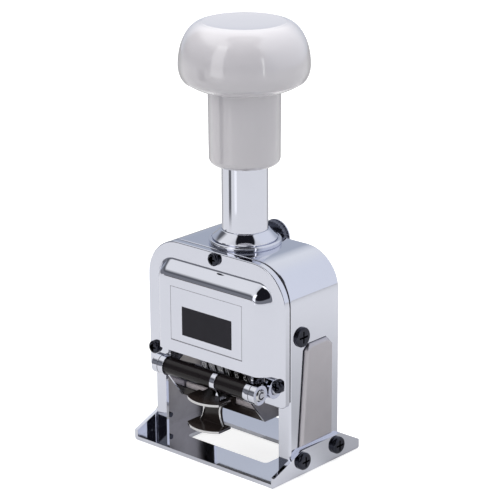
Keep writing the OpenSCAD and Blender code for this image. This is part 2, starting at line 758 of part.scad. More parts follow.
module detent_rod() {
    color("gray") bar_x(detent_d / 2, -yoke_out, yoke_out, detent_y, detent_z);
}
module detent_pawls() {
    reach = ratchet_r + gap;
    color("darkgray") for (i = [1:wheels]) sheet_x(blade_x(i), blade_x(i) + blade_w)
        difference() {
            union() {
                translate([detent_y, detent_z]) circle(detent_d / 2 + 1);
                polygon([[detent_y - 2, detent_z + 0.6], [detent_y + 0.6, detent_z - 2],
                         wheel_point(reach, detent_a - 3), wheel_point(reach, detent_a + 2)]);
            }
            translate([detent_y, detent_z]) circle(detent_d / 2);
        }
}
function wheel_point(r, a) = [r * cos(a), wheel_z + r * sin(a)];

// A number wheel: ten figure fields round the drum and ten ratchet teeth.
module wheel(i) {
    x = wheel_x(i);
    color("lightsteelblue") difference() {
        union() {
            difference() {
                bar_x(wheel_r, x, x + drum_w, 0, wheel_z);
                for (k = [0:9]) translate([x - 1, 0, wheel_z]) rotate([36 * k + 18, 0, 0])
                    translate([0, -groove_w / 2, wheel_r - groove_h]) cube([drum_w + 2, groove_w, 2]);
            }
            sheet_x(x + drum_w, x + drum_w + ratchet_w) translate([0, wheel_z])
                polygon([for (k = [0:9], q = [0, 1])
                    let (a = 36 * k + detent_a + (q == 0 ? 0 : 5), r = q == 0 ? ratchet_r - tooth_h : ratchet_r)
                    [r * cos(a), r * sin(a)]]);
        }
        bar_x(shaft_d / 2 + run, x - 1, x + wheel_w + 1, 0, wheel_z);
    }
}
module wheel_1() {
    wheel(1);
}
module wheel_2() {
    wheel(2);
}
module wheel_3() {
    wheel(3);
}
module wheel_4() {
    wheel(4);
}
module wheel_5() {
    wheel(5);
}
module wheel_6() {
    wheel(6);
}

// Pawl carrier: two arms on the wheel shaft with a rod in front of the wheels.
function pawl_point(r) = wheel_point(r, 180 - pawl_a);

module pawl_carrier() {
    p = pawl_point(pawl_r);
    side = 90 - pawl_a;
    color("darkgray") both_x() sheet_x(carrier_x, carrier_x + carrier_t) difference() {
        union() {
            translate([0, wheel_z]) circle(4.4);
            translate(p) circle(pawl_d / 2 + 0.9);
            polygon([[0, wheel_z] + 4.4 * [cos(side), sin(side)], [0, wheel_z] - 4.4 * [cos(side), sin(side)],
                     p - 1.8 * [cos(side), sin(side)], p + 1.8 * [cos(side), sin(side)]]);
        }
        translate([0, wheel_z]) circle(shaft_d / 2 + run);
        translate(p) circle(pawl_d / 2);
    }
}
module pawl_rod() {
    p = pawl_point(pawl_r);
    color("gray") bar_x(pawl_d / 2, -carrier_x - carrier_t, carrier_x + carrier_t, p[0], p[1]);
}
module drive_pawls() {
    p = pawl_point(pawl_r);
    tip = ratchet_r + gap;
    color("darkgray") for (i = [1:wheels]) sheet_x(blade_x(i), blade_x(i) + blade_w) difference() {
        union() {
            translate(p) circle(pawl_d / 2 + 0.7);
            polygon([wheel_point(pawl_r + 1.3, 180 - pawl_a - 3), wheel_point(pawl_r + 1.3, 180 - pawl_a + 3),
                     wheel_point(tip, 180 - pawl_a + 12), wheel_point(tip, 180 - pawl_a + 7)]);
        }
        translate(p) circle(pawl_d / 2);
    }
}

// Ink pad: felt in a tray between two arms that hang on the pivot.
pivot = [-pivot_y, pivot_z];

module arm_outline() {
    slot_w = cam_pin_d / 2 + 0.2;
    lobe_r = slot_w + arm_rim;
    arm_front = pivot_y - bulge_y + cover_t + 2 * gap;
    difference() {
        union() {
            translate(pivot) circle(ring_d / 2);
            for (s = [0, stroke]) translate(pivot + cam_at(s)) circle(lobe_r);
            translate(pivot) polygon([cam_at(0) - lobe_r * cam_normal(0),
                cam_at(stroke) - lobe_r * cam_normal(stroke), cam_at(stroke) + lobe_r * cam_normal(stroke),
                [arm_front, 6], [arm_front, 2.4], [3, -1], cam_at(0) + lobe_r * cam_normal(0)]);
            polygon([pivot + [0, -3.6], pivot + [3, 2], [felt_back + tray_t, felt_top - 1],
                     [felt_back + tray_t, tray_z], [-felt_front - tray_t, tray_z]]);
        }
        translate(pivot) polygon(cam_band(slot_w));
        for (s = [0, stroke]) translate(pivot + cam_at(s)) circle(slot_w);
        translate(pivot) circle(pivot_d / 2 + run);
    }
}
module pad_arm() {
    color("silver") {
        sheet_x(arm_x, ring_x) arm_outline();
        difference() {
            bar_x(ring_d / 2, ring_x, ring_x + ring_w, -pivot_y, pivot_z);
            bar_x(pivot_d / 2 + run, ring_x - 1, ring_x + ring_w + 1, -pivot_y, pivot_z);
        }
    }
}
module pad_arm_right() {
    pad_arm();
}
module pad_arm_left() {
    mirror([1, 0, 0]) pad_arm();
}
module pad_tube() {
    color("black") difference() {
        bar_x(pivot_tube_d / 2, -arm_x, arm_x, -pivot_y, pivot_z);
        bar_x(pivot_d / 2 + run, -arm_x - 1, arm_x + 1, -pivot_y, pivot_z);
    }
}
module pad_tray() {
    color("gray") sheet_x(-arm_x, arm_x) polygon([
        [-felt_front - tray_t, tray_z], [felt_back + tray_t, tray_z],
        [felt_back + tray_t, felt_z + tray_wall], [felt_back, felt_z + tray_wall],
        [felt_back, felt_z], [-felt_front, felt_z],
        [-felt_front, felt_z + tray_wall], [-felt_front - tray_t, felt_z + tray_wall]]);
}
module ink_pad() {
    color("antiquewhite") translate([-arm_x + 0.4, -felt_front, felt_z])
        cube([2 * arm_x - 0.8, felt_front + felt_back, felt_t]);
}

// Finger grip: two bowed plates and a waisted web, bent from one sheet.
bend = 1.6;
bow_r = (pow(grip_w / 2, 2) + pow(grip_bow, 2)) / (2 * grip_bow);

// Plan of a plate: bowed front, shoulders and a neck that runs back to y1.
module plate_plan(y1) {
    intersection() {
        translate([0, -grip_reach + bow_r]) circle(bow_r);
        translate([-grip_w / 2, -grip_reach]) square([grip_w, grip_reach - web_y + 1.6]);
    }
    translate([-neck_w / 2, -web_y]) square([neck_w, web_y + y1]);
}
module web_outline() {
    h = grip_gap + 2 * grip_t;
    polygon(concat(
        [for (i = [0:12]) [-web_half(i / 12), lower_z + h * i / 12]],
        [for (i = [12:-1:0]) [web_half(i / 12), lower_z + h * i / 12]]));
}
function web_half(t) = waist_w / 2 + (neck_w - waist_w) / 2 * pow(2 * t - 1, 2);

module finger_grip() {
    back = -felt_front + 1.6;
    color("dimgray") {
        translate([0, 0, upper_z]) linear_extrude(grip_t) plate_plan(back);
        translate([0, 0, lower_z]) linear_extrude(grip_t) plate_plan(-web_y + bend);
        sheet_y(-web_y, -web_y + grip_t) web_outline();
        translate([-neck_w / 2, -felt_front - tray_t, felt_z + tray_wall])
            cube([neck_w, tray_t, upper_z - felt_z - tray_wall]);
    }
}
// A spring clip round the pivot tube, with a tail down to the grip's plate.
module grip_clip() {
    r = pivot_tube_d / 2 + 0.02;
    c = [-pivot_y, pivot_z];
    color("silver") sheet_x(clip_x - clip_w / 2, clip_x + clip_w / 2) polygon(concat(
        arc(r, 70, 262, 16, c),
        [[-pivot_y - 0.3, upper_z + grip_t + clip_t], [-pivot_y + 3, upper_z + grip_t + clip_t],
         [-pivot_y + 3, upper_z + grip_t], [-pivot_y - 0.3 - clip_t, upper_z + grip_t]],
        arc(r + clip_t, 262, 70, 16, c)));
}

// Stop knob: a pin through the back cover and the bush, with a knurled drum and a bright rim.
stop_z = housing_top - stop_drop;
stop_y = back_y + gap;

module stop_pin() {
    color("silver") bar_y(stop_pin_d / 2, tube_r + gap, stop_y + stop_l, 0, stop_z);
}
module stop_drum() {
    color("dimgray") difference() {
        bar_y(stop_d / 2 - 0.2, stop_y, stop_y + stop_l, 0, stop_z);
        for (i = [0:stop_knurls - 1]) translate([0, 0, stop_z]) rotate([0, 360 / stop_knurls * i, 0])
            translate([stop_d / 2 + 0.1, stop_y - 1, 0]) rotate([-90, 0, 0])
                cylinder(r = 0.6, h = stop_l + 2, $fn = 16);
        bar_y(stop_pin_d / 2, stop_y - 1, stop_y + stop_l + 1, 0, stop_z);
    }
}
module stop_cap() {
    r = stop_d / 2;
    color("silver") translate([0, stop_y + stop_l + 0.8, stop_z]) rotate([90, 0, 0]) rotate_extrude()
        polygon([[0, 0.3], [r - 1.2, 0.3], [r - 0.8, 0], [r - 0.3, 0], [r, 0.3], [r, 0.8], [0, 0.8]]);
}

// Repeat dial: a knurled disc on the back cover, held by a hub.
dial_y = back_bulge_y + gap;

module repeat_dial() {
    color("dimgray") difference() {
        bar_y(dial_d / 2, dial_y, dial_y + dial_t, 0, dial_z);
        for (i = [0:dial_knurls - 1]) translate([0, 0, dial_z]) rotate([0, 360 / dial_knurls * i, 0])
            translate([dial_d / 2 + 0.5, dial_y - 1, 0]) rotate([-90, 0, 0]) cylinder(r = 0.9, h = dial_t + 2);
        bar_y(hub_d / 2, dial_y - 1, dial_y + dial_t + 1, 0, dial_z);
    }
}
module dial_hub() {
    color("silver") {
        bar_y(hub_d / 2, back_y, dial_y + dial_t, 0, dial_z);
        bar_y(hub_d / 2 + 0.8, dial_y + dial_t, grip_reach, 0, dial_z);
    }
}

base_plate();
base_screws();
housing();
front_cover();
back_cover();
cover_screws();
collar();
side_screws();
bar_hanger_left();
bar_hanger_right();
spring_bar();
main_spring();
pivot_bracket_left();
pivot_bracket_right();
pivot_shaft();
knob_cap();
sleeve();
stem_tube();
spring_plug();
yoke();
wheel_shaft();
shaft_clips();
detent_rod();
detent_pawls();
cam_pins();
wheel_1();
wheel_2();
wheel_3();
wheel_4();
wheel_5();
wheel_6();
pawl_carrier();
pawl_rod();
drive_pawls();
pad_arm_left();
pad_arm_right();
pad_tube();
pad_tray();
ink_pad();
finger_grip();
grip_clip();
stop_pin();
stop_drum();
stop_cap();
repeat_dial();
dial_hub();
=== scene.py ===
"""Hand numbering machine, dressed for its looks. Metres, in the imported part's frame."""
import json
import math
import bpy
import bmesh
from mathutils import Matrix, Vector


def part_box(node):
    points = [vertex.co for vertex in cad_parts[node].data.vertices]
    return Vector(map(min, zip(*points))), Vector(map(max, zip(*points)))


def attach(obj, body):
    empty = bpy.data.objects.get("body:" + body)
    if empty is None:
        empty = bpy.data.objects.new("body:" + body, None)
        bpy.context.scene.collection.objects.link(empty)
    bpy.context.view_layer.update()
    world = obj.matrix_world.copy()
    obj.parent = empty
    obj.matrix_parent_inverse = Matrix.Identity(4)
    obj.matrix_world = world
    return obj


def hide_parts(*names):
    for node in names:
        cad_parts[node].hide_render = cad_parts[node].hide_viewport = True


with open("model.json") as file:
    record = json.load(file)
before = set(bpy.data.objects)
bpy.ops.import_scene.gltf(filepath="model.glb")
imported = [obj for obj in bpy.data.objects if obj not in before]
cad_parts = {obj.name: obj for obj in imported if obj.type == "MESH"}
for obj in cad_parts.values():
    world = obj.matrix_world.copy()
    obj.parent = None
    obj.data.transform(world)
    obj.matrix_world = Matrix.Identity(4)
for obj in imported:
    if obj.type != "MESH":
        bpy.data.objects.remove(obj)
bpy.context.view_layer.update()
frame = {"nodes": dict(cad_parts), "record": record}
cad = frame["nodes"]
body_of_node = {n: b for b, ns in frame["record"]["behaviour"]["bodies"].items() for n in ns}
slot_of_node = {s["node"]: s["material_slot"] for s in frame["record"]["subparts"]}
scene = bpy.context.scene
MM = 0.001

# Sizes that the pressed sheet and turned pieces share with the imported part, in millimetres.
HALF_W = 33.0
HOUSING_TOP = 79.2
HOUSING_R = 15.0
HOUSING_T = 1.2
HALF_D = 13.6
LIP_W = 5.3
COVER_Y = 16.3
COVER_T = 1.0
BACK_Y = 14.6
BACK_INSET = 1.4
CUTOUT_Z = 38.8
CUTOUT_X = 23.6
EAR_Z = 27.6
EAR_R = 2.0
FRONT_BULGE_TOP = 72.8
BACK_BULGE_TOP = 68.6
BULGE_X = 28.0
BULGE_RISE = 4.6
BULGE_RUN = 5.8
BULGE_R = 7.4
PANEL_RISE = 1.4
PANEL_ROLL = 1.3
PANEL_CORNERS = [(-8.8, 11.0), (8.8, 11.0), (8.8, 46.2), (5.8, 49.2), (-3.9, 49.2), (-5.9, 47.2)]
WHEELS = range(1, 7)
WHEEL_R = 12.0
WHEEL_Z = 36.0
FIRST_DRUM_X = -11.85
PITCH = 4.0
DRUM_W = 3.0
FIELD_TURN = 36


# Materials

def tree_group(name, inputs, outputs):
    group = bpy.data.node_groups.new(name, "ShaderNodeTree")
    for label, kind, value in inputs:
        socket = group.interface.new_socket(label, in_out="INPUT", socket_type=kind)
        if value is not None:
            socket.default_value = value
    for label, kind in outputs:
        group.interface.new_socket(label, in_out="OUTPUT", socket_type=kind)
    enter = group.nodes.new("NodeGroupInput")
    leave = group.nodes.new("NodeGroupOutput")
    return group, enter, leave


def feed(tree, socket, value):
    """Set a socket's own value, or link another node's output to it."""
    if isinstance(value, bpy.types.NodeSocket):
        tree.links.new(value, socket)
    else:
        socket.default_value = value


def add_node(tree, kind, inputs=(), **settings):
    """A node with its settings, then its inputs as pairs of a socket and a value or an output."""
    node = tree.nodes.new(kind)
    for key, value in settings.items():
        setattr(node, key, value)
    for socket, value in inputs:
        feed(tree, node.inputs[socket], value)
    return node


def math_node(tree, operation, a, b, clamp=False):
    return add_node(tree, "ShaderNodeMath", ((0, a), (1, b)), operation=operation, use_clamp=clamp).outputs[0]


def mixed(tree, share, a, b):
    """Colour a faded into colour b; each is a node's output or a plain triple."""
    a, b = ((*colour, 1) if isinstance(colour, tuple) else colour for colour in (a, b))
    return add_node(tree, "ShaderNodeMix", ((0, share), (6, a), (7, b)), data_type="RGBA").outputs[2]


def fade(tree, value, low, high):
    """0 below low, 1 above high, and smooth between them."""
    return add_node(tree, "ShaderNodeMapRange", (("Value", value), ("From Min", low), ("From Max", high)),
                    interpolation_type="SMOOTHSTEP").outputs[0]


def along(tree, way, direction):
    """How far a direction runs along another one."""
    return add_node(tree, "ShaderNodeVectorMath", ((0, way), (1, direction)),
                    operation="DOT_PRODUCT").outputs["Value"]


def polish_group():
    """Fine drawn grain and broad handling marks, as a roughness, a tone mask and a height."""
    group, enter, leave = tree_group(
        "polish marks",
        [("Position", "NodeSocketVector", None), ("Grain Scale", "NodeSocketFloat", 4000.0),
         ("Stretch", "NodeSocketVector", (1, 1, 1)), ("Mark Scale", "NodeSocketFloat", 120.0),
         ("Roughness", "NodeSocketFloat", 0.1), ("Spread", "NodeSocketFloat", 0.05)],
        [("Roughness", "NodeSocketFloat"), ("Tone", "NodeSocketFloat"), ("Height", "NodeSocketFloat")])
    place = enter.outputs["Position"]
    drawn = add_node(group, "ShaderNodeVectorMath", ((0, place), (1, enter.outputs["Stretch"])),
                     operation="MULTIPLY").outputs[0]
    grain = add_node(group, "ShaderNodeTexNoise", (
        ("Vector", drawn), ("Scale", enter.outputs["Grain Scale"]), ("Detail", 3))).outputs["Fac"]
    marks = add_node(group, "ShaderNodeTexNoise", (
        ("Vector", place), ("Scale", enter.outputs["Mark Scale"]), ("Detail", 4),
        ("Roughness", 0.6))).outputs["Fac"]
    mean_product = 0.25
    both = math_node(group, "SUBTRACT", math_node(group, "MULTIPLY", grain, marks), mean_product)
    rough = math_node(group, "MULTIPLY", math_node(group, "MULTIPLY", both, 2.0), enter.outputs["Spread"])
    total = math_node(group, "ADD", rough, enter.outputs["Roughness"], clamp=True)
    for label, value in (("Roughness", total), ("Tone", marks), ("Height", grain)):
        feed(group, leave.inputs[label], value)
    return group


POLISH = polish_group()


def finish_material(name, light, dark, metallic, rough, spread, grain=4000.0, stretch=(1, 1, 1),
                    marks=120.0, bump=0.0, bump_depth=2e-6, coat=0.0, coat_ior=1.5, sheen=0.0, ior=1.5):
    """A finish with a tone from dark to light by its marks, and a roughness that varies by spread."""
    material = bpy.data.materials.new(name)
    material.use_nodes = True
    tree = material.node_tree
    shader = tree.nodes["Principled BSDF"]
    place = add_node(tree, "ShaderNodeTexCoord").outputs["Object"]
    polish = add_node(tree, "ShaderNodeGroup", (
        ("Position", place), ("Grain Scale", grain), ("Stretch", stretch), ("Mark Scale", marks),
        ("Roughness", rough), ("Spread", spread)), node_tree=POLISH).outputs
    for socket, value in (("Base Color", mixed(tree, polish["Tone"], dark, light)),
                          ("Roughness", polish["Roughness"]), ("Metallic", metallic), ("IOR", ior),
                          ("Coat Weight", coat), ("Coat IOR", coat_ior), ("Sheen Weight", sheen)):
        feed(tree, shader.inputs[socket], value)
    if bump:
        relief = add_node(tree, "ShaderNodeBump", (
            ("Strength", bump), ("Distance", bump_depth), ("Height", polish["Height"])))
        feed(tree, shader.inputs["Normal"], relief.outputs["Normal"])
    return material


CHROME = finish_material("chrome plate", (0.70, 0.715, 0.785), (0.655, 0.67, 0.74), 1, 0.045, 0.035, marks=60)
INSIDE = finish_material("dull inner face", (0.36, 0.34, 0.335), (0.22, 0.205, 0.20), 1, 0.34, 0.14, marks=160)
# Black chromed steel for the screws and the yoke; also used as painted shade in the strips round the side panels.
BLACK_STEEL_AND_PAINTED_SHADE = finish_material("black chromed steel and painted shade", (0.060, 0.063, 0.078), (0.018, 0.019, 0.027), 1, 0.14, 0.12,
                              marks=700)
NICKEL = finish_material("nickel plate", (0.70, 0.695, 0.70), (0.56, 0.555, 0.56), 1, 0.14, 0.1, marks=200,
                         grain=3000, bump=0.15)
STEEL = finish_material("ground steel", (0.70, 0.70, 0.71), (0.52, 0.52, 0.54), 1, 0.2, 0.14, marks=250,
                        grain=2500, stretch=(0.2, 1, 1), bump=0.2)
SPRING = finish_material("spring wire", (0.46, 0.46, 0.48), (0.34, 0.34, 0.36), 1, 0.28, 0.1, marks=300)
IVORY = finish_material("white moulding", (0.715, 0.695, 0.72), (0.68, 0.66, 0.685), 0, 0.14, 0.05, marks=40,
                        grain=1500, bump=0.04, coat=1, coat_ior=1.65)
WHEEL = finish_material("blackened wheel steel", (0.26, 0.26, 0.28), (0.10, 0.10, 0.11), 1, 0.24, 0.18,
                        marks=500, grain=2500, bump=0.2)
TYPE = finish_material("bright type face", (0.95, 0.95, 0.95), (0.78, 0.78, 0.79), 0.2, 0.3, 0.16, marks=600)
ENAMEL = finish_material("black enamel", (0.014, 0.011, 0.012), (0.007, 0.005, 0.006), 0, 0.2, 0.1, marks=150,
                         ior=1.33)
DARK_NICKEL = finish_material("dark nickel", (0.34, 0.32, 0.30), (0.17, 0.16, 0.15), 1, 0.2, 0.12, marks=200,
                              grain=3000, bump=0.15)
FELT = finish_material("pale felt", (0.93, 0.86, 0.86), (0.74, 0.66, 0.68), 0, 0.85, 0.2, marks=900,
                       grain=5200, bump=0.9, bump_depth=1.2e-4, sheen=0.3)
PANEL = finish_material("satin panel", (0.545, 0.527, 0.555), (0.45, 0.433, 0.46), 1, 0.32, 0.1, marks=90,
                        grain=3000, bump=0.1)
BLACKENED = finish_material("blackened sheet", (0.040, 0.030, 0.027), (0.016, 0.012, 0.011), 0, 0.2, 0.12, marks=260,
                            grain=2600, bump=0.1, ior=1.38)
KNURLED = finish_material("dark plated knurling", (0.17, 0.18, 0.22), (0.07, 0.075, 0.10), 1, 0.3, 0.12, marks=500)
# Black print for the label block and the clips; also used as painted shade in the cover seam strip.
PRINT_BLACK_AND_PAINTED_SHADE = finish_material("black print and painted shade", (0.020, 0.019, 0.027), (0.012, 0.011, 0.016), 0, 0.5, 0.1, marks=300,
                              ior=1.3)
ENGRAVED = finish_material("engraved line", (0.30, 0.30, 0.33), (0.2, 0.2, 0.22), 1, 0.4, 0.1, marks=300)

BY_SLOT = {"chrome_sheet": CHROME, "black_screw": BLACK_STEEL_AND_PAINTED_SHADE, "nickel_steel": NICKEL, "bright_steel": STEEL,
           "spring_steel": SPRING, "ivory_plastic": IVORY, "wheel_steel": WHEEL, "black_enamel": ENAMEL,
           "felt": FELT, "dark_nickel": DARK_NICKEL}


# Mesh helpers

def mesh_object(name, build):
    shape = bmesh.new()
    build(shape)
    bmesh.ops.remove_doubles(shape, verts=shape.verts, dist=1e-7)
    mesh = bpy.data.meshes.new(name)
    shape.to_mesh(mesh)
    shape.free()
    piece = bpy.data.objects.new(name, mesh)
    scene.collection.objects.link(piece)
    return piece


def vert_mm(shape, x, y, z):
    return shape.verts.new((x * MM, y * MM, z * MM))


def first_face(faces):
    return faces[:][0]


def highest_face(faces):
    return max(faces, key=lambda face: face.calc_center_median().z)


def largest_face(faces):
    return max(faces, key=lambda face: face.calc_area())


def turn_out(shape, pick, axis, sign=1):
    """Make the faces agree, with the picked one looking along an axis: 0 is x, 1 is y and 2 is z."""
    bmesh.ops.recalc_face_normals(shape, faces=shape.faces)
    if pick(shape.faces).normal[axis] * sign < 0:
        bmesh.ops.reverse_faces(shape, faces=shape.faces)


def smooth(piece, degrees=32):
    """Smooth shading that keeps the large faces flat right up to their rounded edges."""
    piece.data.shade_smooth()
    piece.data.set_sharp_from_angle(angle=math.radians(degrees))
    even = piece.modifiers.new("even shading", "WEIGHTED_NORMAL")
    even.mode = "FACE_AREA"
    even.weight = 100
    even.keep_sharp = True
    bake(piece)


def settle(piece, nodes, material, body=None, replace=True):
    """Give a piece its finish and body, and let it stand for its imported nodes."""
    piece.data.materials.clear()
    piece.data.materials.append(material)
    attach(piece, body or body_of_node[nodes[0]])
    if replace and nodes:
        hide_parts(*nodes)
    return piece


def bake(piece):
    """Apply a piece's modifiers and keep the plain mesh."""
    depsgraph = bpy.context.evaluated_depsgraph_get()
    mesh = bpy.data.meshes.new_from_object(piece.evaluated_get(depsgraph))
    piece.modifiers.clear()
    old = piece.data
    piece.data = mesh
    bpy.data.meshes.remove(old)
    return piece


def bevel(piece, width, segments=2, degrees=35):
    edge = piece.modifiers.new("worn edge", "BEVEL")
    edge.width = width * MM
    edge.segments = segments
    edge.limit_method = "ANGLE"
    edge.angle_limit = math.radians(degrees)
    edge.harden_normals = False
    edge.use_clamp_overlap = True


def thicken(piece, thickness, edge):
    """Give a pressed surface its sheet thickness, inwards, and break its edges."""
    wall = piece.modifiers.new("sheet", "SOLIDIFY")
    wall.thickness = thickness * MM
    wall.offset = -1
    wall.use_even_offset = True
    bevel(piece, edge, 2, 60)
    bake(piece)
    smooth(piece, 50)


def soft_block(name, centre, size, edge, segments):
    """A block with rounded edges; its centre and size are in metres."""
    def build(shape):
        bmesh.ops.create_cube(shape, size=1)
        for v in shape.verts:
            v.co = Vector([centre[i] + v.co[i] * size[i] for i in range(3)])
        bmesh.ops.bevel(shape, geom=shape.edges[:], offset=edge * MM, segments=segments, profile=0.5,
                        affect="EDGES")
        bmesh.ops.recalc_face_normals(shape, faces=shape.faces)
    piece = mesh_object(name, build)
    smooth(piece, 40)
    return piece


def dressed(node, material=None, edge=0.12, degrees=35, flat=0.4):
    """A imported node's own shape, merged and with its edges broken."""
    piece = bpy.data.objects.new(node + "_finish", cad[node].data.copy())
    scene.collection.objects.link(piece)
    shape = bmesh.new()
    shape.from_mesh(piece.data)
    bmesh.ops.remove_doubles(shape, verts=shape.verts, dist=2e-6)
    bmesh.ops.dissolve_limit(shape, angle_limit=math.radians(flat), verts=shape.verts, edges=shape.edges)
    shape.to_mesh(piece.data)
    shape.free()
    if "custom_normal" in piece.data.attributes:
        piece.data.attributes.remove(piece.data.attributes["custom_normal"])
    if edge:
        bevel(piece, edge, 2, degrees)
        bake(piece)
    smooth(piece)
    return settle(piece, [node], material or BY_SLOT[slot_of_node[node]])


def ring_faces(shape, rows, closed_u=False):
    """Faces between each row of vertices and the next; closed_u joins a row's end to its start."""
    for a, b in zip(rows, rows[1:]):
        m = len(a)
        for j in range(m if closed_u else m - 1):
            k = (j + 1) % m
            corner = [a[j], a[k], b[k], b[j]]
            unique = []
            for v in corner:
                if v not in unique:
                    unique.append(v)
            if len(unique) > 2:
                shape.faces.new(unique)


def lathe(name, profile, steps=160):
    """Turn a profile of (radius, height) pairs in millimetres round the vertical axis."""
    def build(shape):
        rows = []
        for r, z in profile:
            if r < 1e-6:
                rows.append([vert_mm(shape, 0, 0, z)] * steps)
            else:
                rows.append([vert_mm(shape, r * math.cos(2 * math.pi * k / steps),
                                     r * math.sin(2 * math.pi * k / steps), z) for k in range(steps)])
        ring_faces(shape, rows, closed_u=True)
        bmesh.ops.recalc_face_normals(shape, faces=shape.faces)
    piece = mesh_object(name, build)
    smooth(piece)
    return piece


def oval(cx, cz, rx, rz, a0, a1, n):
    """Points of an ellipse from the angle a0 to a1, in degrees."""
    turns = [math.radians(a0 + (a1 - a0) * i / n) for i in range(n + 1)]
    return [(cx + rx * math.cos(a), cz + rz * math.sin(a)) for a in turns]


def arc(cx, cz, r, a0, a1, n):
    return oval(cx, cz, r, r, a0, a1, n)


# Turned pieces

def knob_profile():
    """A flare up to the side, the round side, the domed top, and its flat with a shallow dish."""
    low, radius, height, waist, foot = 135.9, 23.45, 24.6, 9.0, 13.05
    side_r, side_h, side_turn = 3.8, 6.4, 60
    dome_r, dome_turn, dish = 9.2, 84, 0.3
    side = oval(radius - side_r, low + waist, side_r, side_h, -side_turn, 0, 20)
    flare_r, flare_z = side[0][0], side[0][1] - low
    rows = [(foot - 0.4, low + 0.02), (foot, low)]
    rows += [(foot + (flare_r - foot) * (i / 16), low + flare_z * (i / 16) ** 1.6) for i in range(1, 16)]
    rows += side
    rows += oval(radius - dome_r, low + waist, dome_r, height - waist - dish, 0, dome_turn, 40)[1:]
    last_r, last_z = rows[-1]
    rows += [(last_r - 0.5 * t, last_z + 0.14 * math.sin(math.pi * t / 2)) for t in (0.25, 0.5, 0.75, 1)]
    last_r, last_z = rows[-1]
    rows += [(last_r * (1 - t), last_z - dish * (1 - (1 - t) ** 2.6)) for t in [i / 16 for i in range(1, 17)]]
    return rows


def sleeve_profile():
    """A rounded lower edge, and a wall that widens upwards by the draft."""
    low, long, radius, edge, bore, draft = 108.75, 27.15, 13.05, 2.6, 8.4, 0.2
    foot = radius - draft
    rows = [(bore, low), (foot - edge, low)]
    rows += arc(foot - edge, low + edge, edge, -84, 0, 24)
    rows += [(foot + draft * i / 10, low + edge + (long - edge) * i / 10) for i in range(1, 11)]
    return rows + [(bore, low + long), (bore, low)]


def collar_profile():
    """A bush through the housing, a rim with two beads, and a cone up to the stem."""
    top, bush, bush_long, chamfer, bore = HOUSING_TOP, 10.6, 8, 0.2, 8.45
    rim, cone_foot, cone_top, cone_low, cone_rise = 13.2, 11.9, 9.0, 2.4, 2.8
    rows = [(bore, top - bush_long), (bush - chamfer, top - bush_long), (bush, top - bush_long + chamfer)]
    rows += [(bush, top), (rim - 0.3, top)]
    rows += arc(rim - 0.45, top + 0.45, 0.45, -60, 0, 6) + arc(rim - 0.6, top + 1.3, 0.6, 0, 90, 8)
    rows += [(rim - 0.85, top + 1.88), (rim - 0.92, top + 1.55), (rim - 1.25, top + 1.55)]
    rows += [(cone_foot - (cone_foot - cone_top) * t, top + cone_low + cone_rise * (0.8 * t + 0.2 * t * t))
             for t in [i / 24 for i in range(25)]]
    return rows + [(8.8, top + 5.35), (8.7, top + 5.4), (bore, top + 5.4), (bore, top - bush_long)]


settle(lathe("knob", knob_profile(), 192), ["knob_cap"], IVORY)
settle(lathe("knob_sleeve", sleeve_profile()), ["sleeve"], IVORY)
settle(lathe("stem_collar", collar_profile(), 192), ["collar"], CHROME)


# Pressed sheet

def arch_line(grow, z0, straight=10, half=HALF_W, top=HOUSING_TOP, radius=HOUSING_R):
    """Points (x, z) and outward normals of an arch outline, from its left foot to its right foot."""
    w, h, r = half + grow, top + grow, radius + grow
    corner = across = 24
    left = [((-w, z0 + (h - r - z0) * i / straight), (-1, 0)) for i in range(straight)]
    turn = [((-w + r - r * math.cos(t), h - r + r * math.sin(t)), (-math.cos(t), math.sin(t)))
            for t in [math.pi / 2 * i / corner for i in range(corner)]]
    crown = [((-w + r + (2 * w - 2 * r) * i / across, h), (0, 1)) for i in range(across + 1)]
    half_line = left + turn
    mirrored = [((-p[0], p[1]), (-n[0], n[1])) for p, n in reversed(half_line)]
    return half_line + crown + mirrored


def crest(t):
    """Height of the panel's shoulder; t runs from the plateau (0) out to the foot (1)."""
    foot, top = 0.16, 0.58
    slope = BULGE_RISE / (1 - foot / 2 - top / 2)
    u = 1 - t
    if u < foot:
        return slope * u * u / (2 * foot)
    if t > top:
        return slope * (u - foot / 2)
    return BULGE_RISE - slope * t * t / (2 * top)


